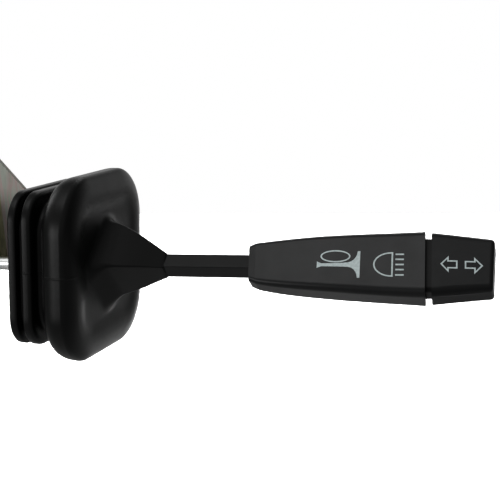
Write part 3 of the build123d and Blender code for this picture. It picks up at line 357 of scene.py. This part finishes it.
# The moulding line: how far from its middle, in radians, and the share of its height there.
LINE_STEPS = {0.004: 1.0, 0.0055: 0.81, 0.0105: 0.19, 0.012: 0.0}
LINE_PROUD = 0.24
LINE_START = 5.1
ON_STEP = 0.0001           # radians, for finding a point of the line by its angle


def smooth_step(value, low, high):
    t = min(1.0, max(0.0, (value - low) / (high - low)))
    return t * t * (3 - 2 * t)


def ring_angles():
    """Angles round the stalk, closer at the ridges and corners, with the two parting lines."""
    angles = []
    for i in range(TURNS):
        a = 2 * pi * i / TURNS
        angles.append(a - CLOSER / 8 * sin(8 * a))
    for middle in (pi / 2, 3 * pi / 2):
        angles += [middle + side * step for side in (-1, 1) for step in LINE_STEPS]
    return sorted(angles)


def squircle(angle, half, radius):
    """Distance to the edge of a rounded square in this direction."""
    radius = min(radius, half)
    u, v = sorted((abs(cos(angle)), abs(sin(angle))), reverse=True)
    if half * v / u <= half - radius:
        return half / u
    c = half - radius
    along = (u + v) * c
    return along + sqrt(max(along * along - 2 * c * c + radius * radius, 0))


def pyramid_row(x, wall=0.0):
    """A row of the pyramid. Its foot flares and softens, and sits a little higher."""
    along = max(0.0, x - FOOT_X)
    share = min(1.0, along / (TIP_X - FOOT_X))
    side = TIP_SIDE + (FOOT_SIDE - TIP_SIDE) / FOOT_LENGTH * (TIP_X - x) - 2 * wall
    if not wall:
        side += FLARE * max(0.0, 1 - along / FLARE_LENGTH) ** FLARE_POWER + BELLY * sin(pi * share) ** 2
    soft = max(0.0, 1 - along / SOFT_LENGTH) ** 2
    lean = 1 - smooth_step(along, 0.0, LEAN_LENGTH)
    rise = 1 - share * share + (1 - share) * smooth_step(share, 0.0, RISE_START)
    return Row(x, side=side, diamond=1.0, lean=lean, rise=rise, ridge=(RIDGE + SOFT_RIDGE * soft) * side)


def rise_arc(x0, h0, x1, h1, steps, power=1.0):
    """Quarter of an ellipse from one profile point to the next, leaving across the stalk."""
    angles = [pi / 2 * i / steps for i in range(1, steps)]
    middle = [(x1 + (x0 - x1) * cos(a) ** power, h0 + (h1 - h0) * sin(a) ** power) for a in angles]
    return [(x0, h0)] + middle + [(x1, h1)]


def fall_arc(x0, h0, x1, h1, steps):
    """Quarter of an ellipse from one profile point to the next, leaving along the stalk."""
    angles = [pi / 2 * i / steps for i in range(1, steps)]
    middle = [(x0 + (x1 - x0) * sin(a), h0 + (h1 - h0) * (1 - cos(a))) for a in angles]
    return [(x0, h0)] + middle + [(x1, h1)]


def flange_profile():
    """Panel flange, groove, second flange and neck: x and half the width."""
    panel = rise_arc(0.0, 26.2, 0.6, 26.8, 4) + [(1.4, 26.8)] + fall_arc(2.3, 26.8, 2.9, 26.2, 4)
    groove = [(2.9, 25.0), (2.9, 23.8), (3.1, 23.6), (4.0, 23.6), (4.93, 23.6), (5.13, 23.8), (5.13, 25.0)]
    second = rise_arc(5.13, 26.3, 5.63, 26.8, 4) + [(6.5, 26.8)] + fall_arc(7.2, 26.8, 8.73, 25.2, 7)
    neck = [(8.73, 24.3), (8.76, 23.3), (9.0, 22.8), (9.5, 22.5), (10.5, 22.5), (11.5, 22.5),
            (12.5, 22.5), (13.2, 22.5), (13.7, 22.75), (13.95, 23.4)]
    return panel + groove + second + neck


def outer_rows():
    """Rows of the outside, with the row where the dish starts and the one where the two pieces meet."""
    rows = [Row(x, half, FLANGE_CORNER) for x, half in flange_profile()]
    rows += [Row(CUSHION_BACK, 24.3, 10.9), Row(CUSHION_BACK, 25.4, 12.0)]
    cushion = rise_arc(CUSHION_BACK, 26.5, 21.8, CUSHION_HALF, 16, CROWN_POWER)
    cushion += fall_arc(21.9, CUSHION_HALF, CUSHION_FRONT, 24.0, 16)
    rows += [Row(x, half, CUSHION_CORNER - (CUSHION_HALF - half)) for x, half in cushion]
    dish = len(rows)
    rows += [Row(*r) for r in (
        (25.39, 23.4, 10.0), (25.36, 22.8, 9.6), (25.3, 22.2, 9.2), (25.22, 21.6, 8.8),
        (25.12, 21.0, 8.4), (25.02, 20.4, 8.0), (24.93, 19.8, 7.7), (24.86, 19.3, 7.5))]
    seam = len(rows)
    for diamond in (0.15, 0.38, 0.62, 0.85):
        rows.append(Row(FOOT_X, 19.0, 7.5, 29.1, diamond, ridge=7.6))
    x = FOOT_X
    while x < TIP_X - LAST_STEP:
        rows.append(pyramid_row(x))
        x += FINE_STEP if x < FINE_END else COARSE_STEP
    for x, side in TIP_ROWS:
        rows.append(Row(x, side=side, diamond=1.0, lean=0.0, rise=0.0, ridge=TIP_RIDGE))
    return rows, dish, seam


def inner_rows():
    """Rows of the inside, from the back of the flange to the hollow of the pyramid, and the meeting row."""
    rows = [Row(*r) for r in (
        (0.0, 21.1, 8.6), (0.25, 20.6, 8.3), (1.0, 20.5, 8.3), (6.0, 20.5, 8.3), (11.0, 20.5, 8.3),
        (15.3, 20.5, 8.3), (15.8, 20.7, 8.4), (16.0, 21.3, 8.6), (16.0, 27.2, 14.0), (16.3, 27.8, 14.4),
        (16.9, 28.0, 14.6), (19.0, 28.0, 14.6), (21.0, 28.0, 14.6), (21.6, 27.8, 14.4),
        (21.9, 27.2, 14.0), (21.9, 19.0, 7.0))]
    seam = len(rows) - 1
    rows.append(Row(22.0, 16.5, 6.0, 21.5, 0.6, ridge=1.0))
    rows += [pyramid_row(x, PYRAMID_WALL) for x in (22.4, 24.0, 26.0, 28.0, 30.0, 32.5, 35.3)]
    return rows, seam


def row_points(row, angles):
    """The ring of a row. Angle 0 is up, and pi / 2 is away from the driver."""
    ring = []
    for angle in angles:
        reach = 0.0
        if row.diamond < 1:
            reach += (1 - row.diamond) * squircle(angle, row.half, row.corner)
        if row.diamond > 0:
            reach += row.diamond * squircle(angle - pi / 4, row.side / 2, row.ridge)
        ring.append((row.x, reach * sin(angle), reach * cos(angle), row.lean, row.rise))
    return ring


def hole_points(x, angles):
    """A ring of the square hole for the bar."""
    reaches = [squircle(a - BAR_ROLL, BAR_HALF, BAR_EDGE) for a in angles]
    return [(x, r * sin(a), r * cos(a), 0.0, 0.0) for a, r in zip(angles, reaches)]


def lean_over(point):
    """The gaiter leans back a little and sits a little high, less and less towards the stalk."""
    x, y, z, lean, rise = point
    turn = LEAN * lean
    along = x - LEAN_X
    return ((PANEL_X + LEAN_X + along * cos(turn) + z * sin(turn)) * MM, (AXIS_Y + y) * MM,
            (RISE * rise - along * sin(turn) + z * cos(turn)) * MM)


def smooth_rows(rings, first, last):
    """Rounds the profile between two rows, ring by ring."""
    for _ in range(SMOOTH_ROUNDS):
        before = [list(r) for r in rings]
        for i in range(first, last):
            for j in range(len(rings[i])):
                a, b, c = before[i - 1][j], before[i][j], before[i + 1][j]
                rings[i][j] = tuple(0.25 * a[k] + 0.5 * b[k] + 0.25 * c[k] for k in range(5))


def add_parting_lines(rings, angles):
    """A fine moulding line on both sides, from the second flange to the front of the cushion."""
    for j, angle in enumerate(angles):
        off = min(abs(angle - pi / 2), abs(angle - 3 * pi / 2))
        height = sum(share for step, share in LINE_STEPS.items() if abs(off - step) < ON_STEP)
        for ring in rings:
            x, y, z, lean, rise = ring[j]
            if x >= LINE_START:
                grow = 1 + LINE_PROUD * height / hypot(y, z)
                ring[j] = (x, y * grow, z * grow, lean, rise)


def mesh_piece(name, verts, faces, material, smooth=True):
    mesh = bpy.data.meshes.new(name)
    mesh.from_pydata(verts, [], faces)
    mesh.validate()
    made = bmesh.new()
    made.from_mesh(mesh)
    bmesh.ops.recalc_face_normals(made, faces=made.faces)
    made.to_mesh(mesh)
    made.free()
    for polygon in mesh.polygons:
        polygon.use_smooth = smooth
    mesh.materials.append(material)
    piece = bpy.data.objects.new(name, mesh)
    scene.collection.objects.link(piece)
    return piece


def ring_faces(count, around):
    """Faces between rings that follow each other and, last, between the last ring and the first."""
    faces = []
    for i in range(count):
        here, there = i * around, (i + 1) % count * around
        for j in range(around):
            k = (j + 1) % around
            faces.append((here + j, here + k, there + k, there + j))
    return faces


def gaiter_piece(name, rings, verts, normals, around):
    """One of the two pieces, which meet in the dish."""
    index = [r * around + j for r in rings for j in range(around)]
    piece = mesh_piece(name, [verts[i] for i in index], ring_faces(len(rings), around), MATERIALS["rubber"])
    facing = [normals[i] for i in index]
    probe = around * 3
    if piece.data.vertices[probe].normal.dot(facing[probe]) < 0:
        piece.data.flip_normals()
    piece.data.normals_split_custom_set_from_vertices([tuple(n) for n in facing])
    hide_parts("gaiter")
    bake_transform(piece)


def make_gaiter():
    """One closed loop of rings, out over the outside and back through the bar's hole and the inside.

    It is cut in two at the seam, where both pieces keep the normals of the whole."""
    angles = ring_angles()
    rows, dish, seam = outer_rows()
    outer = [row_points(row, angles) for row in rows]
    smooth_rows(outer, dish + SMOOTHED[0], dish + SMOOTHED[1])
    add_parting_lines(outer[:dish], angles)
    hole = [hole_points(x, angles) for x in HOLE_ROWS]
    rows, inner_seam = inner_rows()
    inner = [row_points(row, angles) for row in rows]
    loop = outer + hole + inner[::-1]
    inner_seam = len(loop) - 1 - inner_seam
    verts = [lean_over(p) for ring in loop for p in ring]
    around = len(angles)
    whole = mesh_piece("gaiter_whole", verts, ring_faces(len(loop), around), MATERIALS["rubber"])
    whole.data.update()
    normals = [v.normal.copy() for v in whole.data.vertices]
    bpy.data.objects.remove(whole)
    skirt = list(range(inner_seam, len(loop))) + list(range(0, seam + 1))
    cone = list(range(seam, inner_seam + 1))
    gaiter_piece("gaiter_skirt", skirt, verts, normals, around)
    gaiter_piece("gaiter_cone", cone, verts, normals, around)


# ---- grip and cap, whose facing ends stand a little off square, and the bar between grip and gaiter
SKEW = 0.13                # the ends go in by this for each mm of the way away from the driver
SKEW_OUT = 0.1             # and everywhere out by this
GRIP_SKEW = (GRIP_END - 17.6, GRIP_END - 0.6)      # the grip's skew grows over this stretch
CAP_SKEW = (CAP_START + 1.3, CAP_START + 8.3)      # the cap's fades over this one
CAP_END_SKEW = (CAP_END - 3.7, CAP_END - 0.7)      # and its outer end has a share of it again
CAP_END_SHARE = 0.35
BORE = (CAP_START + 0.8, CAP_START + 14.3)         # the cap's bore, inside its mouth
BORE_HALF_WIDTH = 10.2
BORE_HALF_DEPTH = 3.95


def reworked(name, node):
    """A piece that starts from the node's own form and takes its place."""
    mesh = nodes[node].data.copy()
    mesh.name = name
    mesh.transform(nodes[node].matrix_world)
    piece = bpy.data.objects.new(name, mesh)
    scene.collection.objects.link(piece)
    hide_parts(node)
    return piece


def in_bore(point):
    """True for points of the cap's bore, which keeps its depth so that the cap still slides."""
    x, y, z = point / MM
    across = (y - AXIS_Y) * sin(ROLL) + z * cos(ROLL)
    through = (y - AXIS_Y) * cos(ROLL) - z * sin(ROLL)
    return BORE[0] < x < BORE[1] and abs(across) < BORE_HALF_WIDTH and abs(through) < BORE_HALF_DEPTH


def skew(piece, share):
    """Turns the ends: further out on the driver's side, by the share that holds at x."""
    for vertex in piece.data.vertices:
        x, y, _ = vertex.co / MM
        if not in_bore(vertex.co):
            vertex.co.x = (x - share(x) * (SKEW * (y - AXIS_Y) - SKEW_OUT)) * MM


def grip_share(x):
    return smooth_step(x, *GRIP_SKEW)


def cap_share(x):
    return 1 - smooth_step(x, *CAP_SKEW) + CAP_END_SHARE * smooth_step(x, *CAP_END_SKEW)


def make_handle():
    """Grip, cap and bar as pieces of their own. Returns the two that carry signs."""
    grip = reworked("grip_moulding", "grip")
    skew(grip, grip_share)
    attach(grip, "stalk")
    cap = reworked("cap_moulding", "horn_button")
    skew(cap, cap_share)
    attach(cap, "horn_push_button")
    bar = reworked("bar_sleeve", "stalk_bar")
    axis = Vector((0, AXIS_Y * MM, 0))
    turn = Matrix.Rotation(ROLL - BAR_ROLL, 4, "X")
    bar.data.transform(Matrix.Translation(axis) @ turn @ Matrix.Translation(-axis))
    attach(bar, "stalk")
    return grip, cap


# ---- springs: node, body of the fixed end, body of the moving end, and the two ends
SPRINGS = (
    ("turn_detent_spring", "turn_yoke", "turn_plunger", (0, AXIS_Y, -6.2), (0, AXIS_Y, -9.1)),
    ("dip_detent_spring", "stalk", "dip_plunger", (19.0, AXIS_Y, 0), (15.4, AXIS_Y, 0)),
    ("horn_return_spring", "stalk", "horn_push_button", (215.6, AXIS_Y, 0), (218.5, AXIS_Y, 0)),
)


def make_springs():
    """The coil springs, as pieces of their own."""
    for node, fixed, moving, start, end in SPRINGS:
        piece = reworked(node + "_coil", node)
        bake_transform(piece)


# ---- printed signs
# Their x is along the stalk, from the grip's outer end or from the cap's mouth, and w is across the face.
WIDTH = Vector((0, sin(ROLL), cos(ROLL)))
FACE = Vector((1, 0, 0)).cross(WIDTH)
PRINT_LEAN = 0.08          # the print leans along the stalk by this for each mm across
PROUD = 0.03               # height of the print
OVER_PROUD = 0.034         # and of print over other print
SUNK = -0.02
REACH = 20.0               # rays to the face start this far out
LINE = 0.52
ARROW_LINE = 0.5
MITRE_LIMIT = 0.3          # keeps the inner corner of a sharp point near it
CORNER_STEPS = 4           # points along each side of an arrow

HORN = (                   # x, and its two edges there
    (-35.2, -0.25, -2.75), (-34.75, -0.5, -2.5), (-33.65, -1.0, -2.1), (-31.35, -0.95, -2.12),
    (-28.85, -0.88, -2.15), (-26.35, -0.75, -2.2), (-24.55, -0.55, -2.3), (-23.55, -0.15, -2.6),
    (-22.75, 0.5, -3.15), (-22.15, 1.3, -3.95), (-21.75, 2.2, -4.8), (-21.5, 3.6, -6.25),
    (-20.65, 3.6, -6.25),
)
HORN_LOOP = (-29.0, 1.65, 5.1, 2.3)        # centre and half axes
LAMP = (-10.25, -1.2, 6.05, 4.5)
GLASS = (-10.3, -9.75)     # x of the lamp's straight edge, on both sides of the line
GLASS_POINTS = (3.3, 1.5, -1.2, -3.9, -5.7)
RAYS = (2.52, 0.68, -1.22, -3.08, -5.02)
RAY_POINTS = (-9.0, -7.6, -6.2)
RAY_HALF = 0.29            # half a ray's width
LEFT_ARROW = (
    (3.35, -0.75), (6.05, -3.8), (6.05, -2.35), (8.85, -2.35), (8.85, 0.6),
    (6.05, 0.6), (6.05, 2.2),
)
RIGHT_ARROW = (
    (16.9, -1.1), (14.05, 1.9), (14.05, 0.5), (11.1, 0.5), (11.1, -2.3),
    (14.05, -2.3), (14.05, -4.2),
)


class PrintedFace:
    """The face of a piece that takes print, with x counted from this end of the piece."""

    def __init__(self, piece, body, end):
        self.tree = BVHTree.FromObject(piece, bpy.context.evaluated_depsgraph_get())
        self.body = body
        self.end = end

    def point(self, x, w, lift):
        """A point of the print, lifted off the face."""
        start = Vector((self.end + x - PRINT_LEAN * w, AXIS_Y, 0)) * MM + WIDTH * w * MM
        hit = self.tree.ray_cast(start + FACE * REACH * MM, -FACE)[0]
        return hit + FACE * lift * MM

    def strip(self, name, pairs, closed=False, lift=PROUD):
        """A thin printed band between pairs of points."""
        verts = []
        for a, b in pairs:
            for height in (lift, SUNK):
                verts += [self.point(*a, height), self.point(*b, height)]
        count = len(pairs)
        faces = []
        for i in range(count if closed else count - 1):
            a, b = 4 * i, 4 * ((i + 1) % count)
            faces += [(a, b, b + 1, a + 1), (a + 2, a + 3, b + 3, b + 2), (a, a + 2, b + 2, b),
                      (a + 1, b + 1, b + 3, a + 3)]
        if not closed:
            end = 4 * (count - 1)
            faces += [(0, 1, 3, 2), (end, end + 2, end + 3, end + 1)]
        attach(mesh_piece(name, verts, faces, INK, smooth=False), self.body)


def ellipse_pairs(ellipse, start, end, steps):
    """Pairs along an ellipse and the same one moved in by a line's width."""
    x, w, across, high = ellipse
    pairs = []
    for i in range(steps + 1):
        a = start + (end - start) * i / steps
        pairs.append(((x + across * cos(a), w + high * sin(a)),
                      (x + (across - LINE) * cos(a), w + (high - LINE) * sin(a))))
    return pairs


def between(p, q, t):
    return tuple(a + (b - a) * t for a, b in zip(p, q))


def inward(p, q):
    """The unit vector at right angles to the way from p to q, on the inside of the outline."""
    dx, dy = q[0] - p[0], q[1] - p[1]
    size = hypot(dx, dy)
    return -dy / size, dx / size


def inset(before, here, after):
    """The corner moved in, so that the line has its width on both sides."""
    (a, b), (c, d) = inward(before, here), inward(here, after)
    scale = ARROW_LINE / max(MITRE_LIMIT, 1 + a * c + b * d)
    return here[0] + (a + c) * scale, here[1] + (b + d) * scale


def outline_pairs(points):
    """Pairs along a closed outline and the same outline moved in by a line's width."""
    count = len(points)
    corners = [(points[i], inset(points[i - 1], points[i], points[(i + 1) % count])) for i in range(count)]
    pairs = []
    for i in range(count):
        (p, q), (r, s) = corners[i], corners[(i + 1) % count]
        for k in range(CORNER_STEPS):
            pairs.append((between(p, r, k / CORNER_STEPS), between(q, s, k / CORNER_STEPS)))
    return pairs


def make_signs(handle, cap):
    """Horn and lamp on the grip, and an arrow each way on the cap."""
    grip = PrintedFace(handle, "stalk", GRIP_END)
    grip.strip("sign_horn", [((x, top), (x, low)) for x, top, low in HORN])
    grip.strip("sign_horn_loop", ellipse_pairs(HORN_LOOP, 0, 2 * pi, 64)[:-1], True, OVER_PROUD)
    grip.strip("sign_lamp", ellipse_pairs(LAMP, pi / 2, 3 * pi / 2, 40))
    grip.strip("sign_lamp_glass", [((GLASS[0], w), (GLASS[1], w)) for w in GLASS_POINTS], lift=OVER_PROUD)
    for i, w in enumerate(RAYS):
        grip.strip(f"sign_lamp_ray_{i + 1}", [((x, w + RAY_HALF), (x, w - RAY_HALF)) for x in RAY_POINTS])
    button = PrintedFace(cap, "horn_push_button", CAP_START)
    button.strip("sign_turn_left", outline_pairs(LEFT_ARROW), True)
    button.strip("sign_turn_right", outline_pairs(RIGHT_ARROW), True)


# ---- stage
FLOOR_HALF = 5.0
FLOOR_Z = -0.7

# Rectangular lights: name, place, where they aim, width and height, power, spread.
LAMPS = (
    ("top_box", (0.1, -0.4, 1.2), (0.13, 0, 0), (1.1, 0.9), 1.0, pi),
    ("face_box", (-0.2, -0.44, 1.05), (0.15, 0, 0), (0.75, 0.55), 2.6, pi),
    ("left_box", (-0.6, -0.9, 0.03), (0.09, -0.04, 0), (0.42, 0.5), 3.4, pi),
    ("low_card", (0.08, 0.12, -0.34), (0.18, -0.01, 0), (0.14, 0.16), 0.03, pi),
    ("rear_box", (-1.4, 0.35, 0.9), (0, 0, 0), (0.8, 0.8), 6.0, pi),
    ("back_far", (-1.5, 3.4, 0.9), (-1.5, 3.3, -0.7), (4.0, 3.6), 150.0, 1.2),
    ("back_near", (-0.6, 1.9, 0.2), (-0.6, 1.95, -0.7), (1.5, 1.2), 10.0, 0.9),
    ("back_right", (0.9, 1.6, 0.3), (0.09, 0, 0), (0.7, 1.0), 1.4, pi),
    ("back_high", (0.1, 1.3, 1.3), (0.09, 0, 0), (1.2, 0.5), 4.5, pi),
)

# The sky is the brighter of two glows: direction, where it starts and is full, as the cosine of the
# angle to that direction, and its brightness away from there and in there.
SKY = (
    ((-0.31, 0.936, -0.1), 0.55, 0.94, 0.0, 1.0),     # the backdrop behind the part
    ((0, -0.7, 0.7), 0.1, 0.6, 0.16, 0.6),            # the room over the driver's side
)
GAMMA = 0.8


def add_floor():
    mesh = bpy.data.meshes.new("floor")
    corners = [(x * FLOOR_HALF, y * FLOOR_HALF, FLOOR_Z) for x, y in ((-1, -1), (1, -1), (1, 1), (-1, 1))]
    mesh.from_pydata(corners, [], [(0, 1, 2, 3)])
    floor = bpy.data.objects.new("floor", mesh)
    scene.collection.objects.link(floor)
    mesh.materials.append(paint("floor_paint"))


def add_lamp(name, place, aim, size, power, spread):
    data = bpy.data.lights.new(name, "AREA")
    data.shape = "RECTANGLE"
    data.size, data.size_y = size
    data.energy = power
    data.spread = spread
    lamp = bpy.data.objects.new(name, data)
    lamp.visible_camera = False
    lamp.location = place
    lamp.rotation_euler = (Vector(aim) - Vector(place)).to_track_quat("-Z", "Y").to_euler()
    scene.collection.objects.link(lamp)


def add_glow(tree, where, axis, start, full, dim, bright):
    """The brightness of the sky, which grows towards one direction."""
    dot = tree.nodes.new("ShaderNodeVectorMath")
    dot.operation = "DOT_PRODUCT"
    dot.inputs[1].default_value = Vector(axis).normalized()
    tree.links.new(where, dot.inputs[0])
    blend = tree.nodes.new("ShaderNodeMapRange")
    blend.interpolation_type = "SMOOTHSTEP"
    for socket, value in (("From Min", start), ("From Max", full), ("To Min", dim), ("To Max", bright)):
        blend.inputs[socket].default_value = value
    tree.links.new(dot.outputs["Value"], blend.inputs["Value"])
    return blend.outputs["Result"]


def add_light():
    """A sky that is white behind the part, and soft lights round it."""
    world = bpy.data.worlds.new("studio")
    scene.world = world
    world.use_nodes = True
    tree = world.node_tree
    where = tree.nodes.new("ShaderNodeTexCoord").outputs["Generated"]
    brighter = tree.nodes.new("ShaderNodeMath")
    brighter.operation = "MAXIMUM"
    for glow, socket in zip(SKY, brighter.inputs):
        tree.links.new(add_glow(tree, where, *glow), socket)
    sky = tree.nodes["Background"]
    tree.links.new(brighter.outputs[0], sky.inputs["Color"])
    sky.inputs["Strength"].default_value = 1.0
    for lamp in LAMPS:
        add_lamp(*lamp)


add_camera()
add_floor()
add_light()
dress_nodes()
make_gaiter()
make_signs(*make_handle())
make_springs()
scene.view_settings.view_transform = "Standard"
scene.view_settings.gamma = GAMMA
